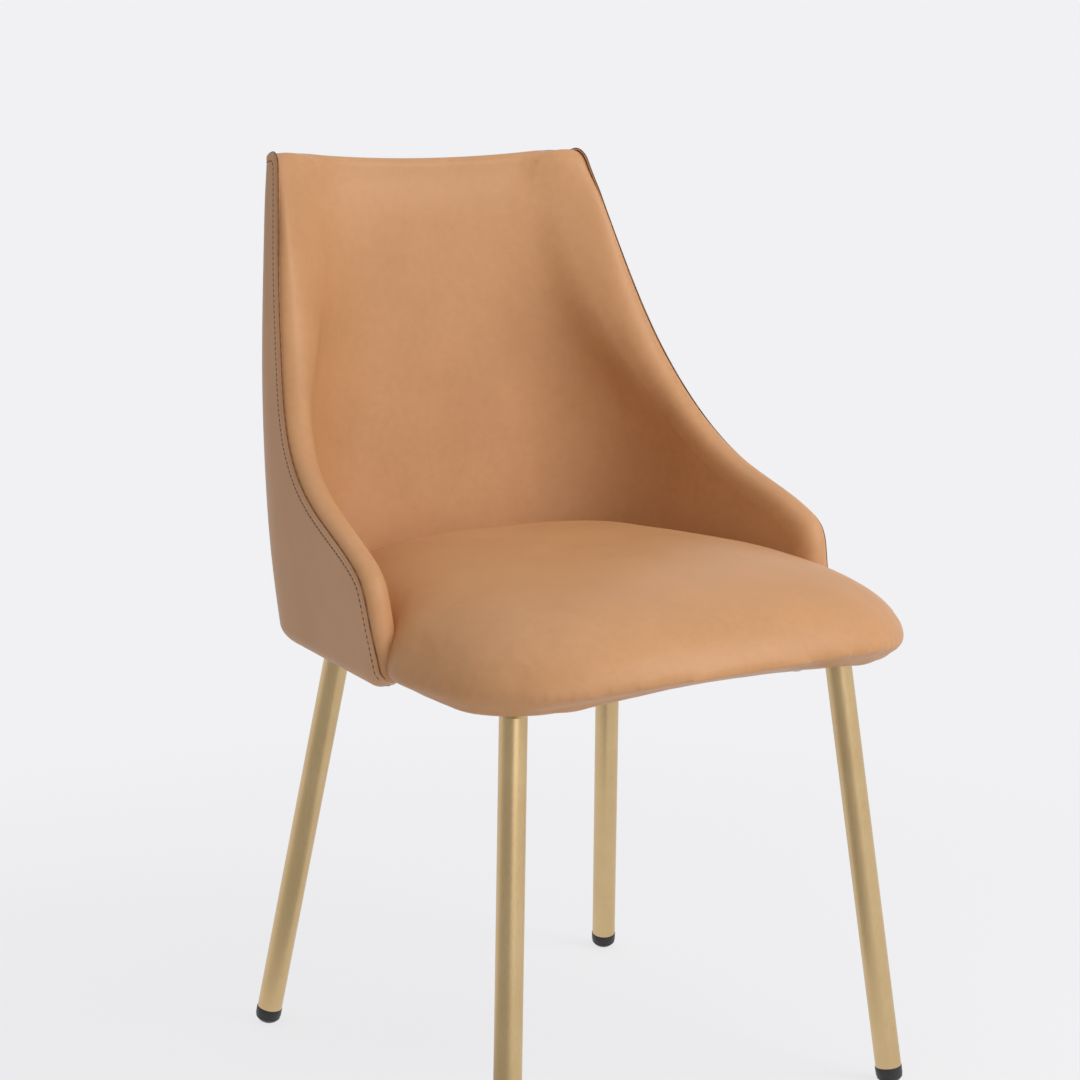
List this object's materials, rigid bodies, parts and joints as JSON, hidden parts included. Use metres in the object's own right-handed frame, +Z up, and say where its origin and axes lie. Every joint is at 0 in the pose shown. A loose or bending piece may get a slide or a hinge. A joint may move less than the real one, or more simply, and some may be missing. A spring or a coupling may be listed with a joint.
{
  "type": "upholstered dining chair",
  "caption": "Upholstered dining chair with a wrap-around shell back that runs into low sloping arms, a crowned seat cushion and splayed round metal legs.",
  "frame": {"origin": "on the floor, under the middle of the bounding box", "axes": "+Z up, -Y the way the chair faces, +X to the right when the chair is seen from its front"},
  "size_m": [0.5058, 0.5513, 0.85],
  "materials": {
    "leatherette": "smooth satin tan",
    "plywood": "raw birch plywood",
    "foam": "open-cell upholstery foam",
    "brass_finish_steel": "satin brass coating on steel",
    "zinc_steel": "zinc plated",
    "black_plastic": "moulded black plastic",
    "black_cloth": "non-woven dust cloth"
  },
  "bodies": {
    "root": {"outer_cover": "leatherette", "inner_cover": "leatherette", "seat_cover": "leatherette", "shell_core": "plywood", "base_panel": "plywood", "seat_board": "plywood", "back_foam": "foam", "seat_foam": "foam", "front_left_leg": "brass_finish_steel", "front_right_leg": "brass_finish_steel", "rear_left_leg": "brass_finish_steel", "rear_right_leg": "brass_finish_steel", "front_left_plate": "brass_finish_steel", "front_right_plate": "brass_finish_steel", "rear_left_plate": "brass_finish_steel", "rear_right_plate": "brass_finish_steel", "leg_welds": "brass_finish_steel", "leg_bolts": "zinc_steel", "leg_washers": "zinc_steel", "tee_nuts": "zinc_steel", "seat_screws": "zinc_steel", "shell_screws": "zinc_steel", "front_left_foot": "black_plastic", "front_right_foot": "black_plastic", "rear_left_foot": "black_plastic", "rear_right_foot": "black_plastic", "dust_cover": "black_cloth"}
  },
  "joints": []
}
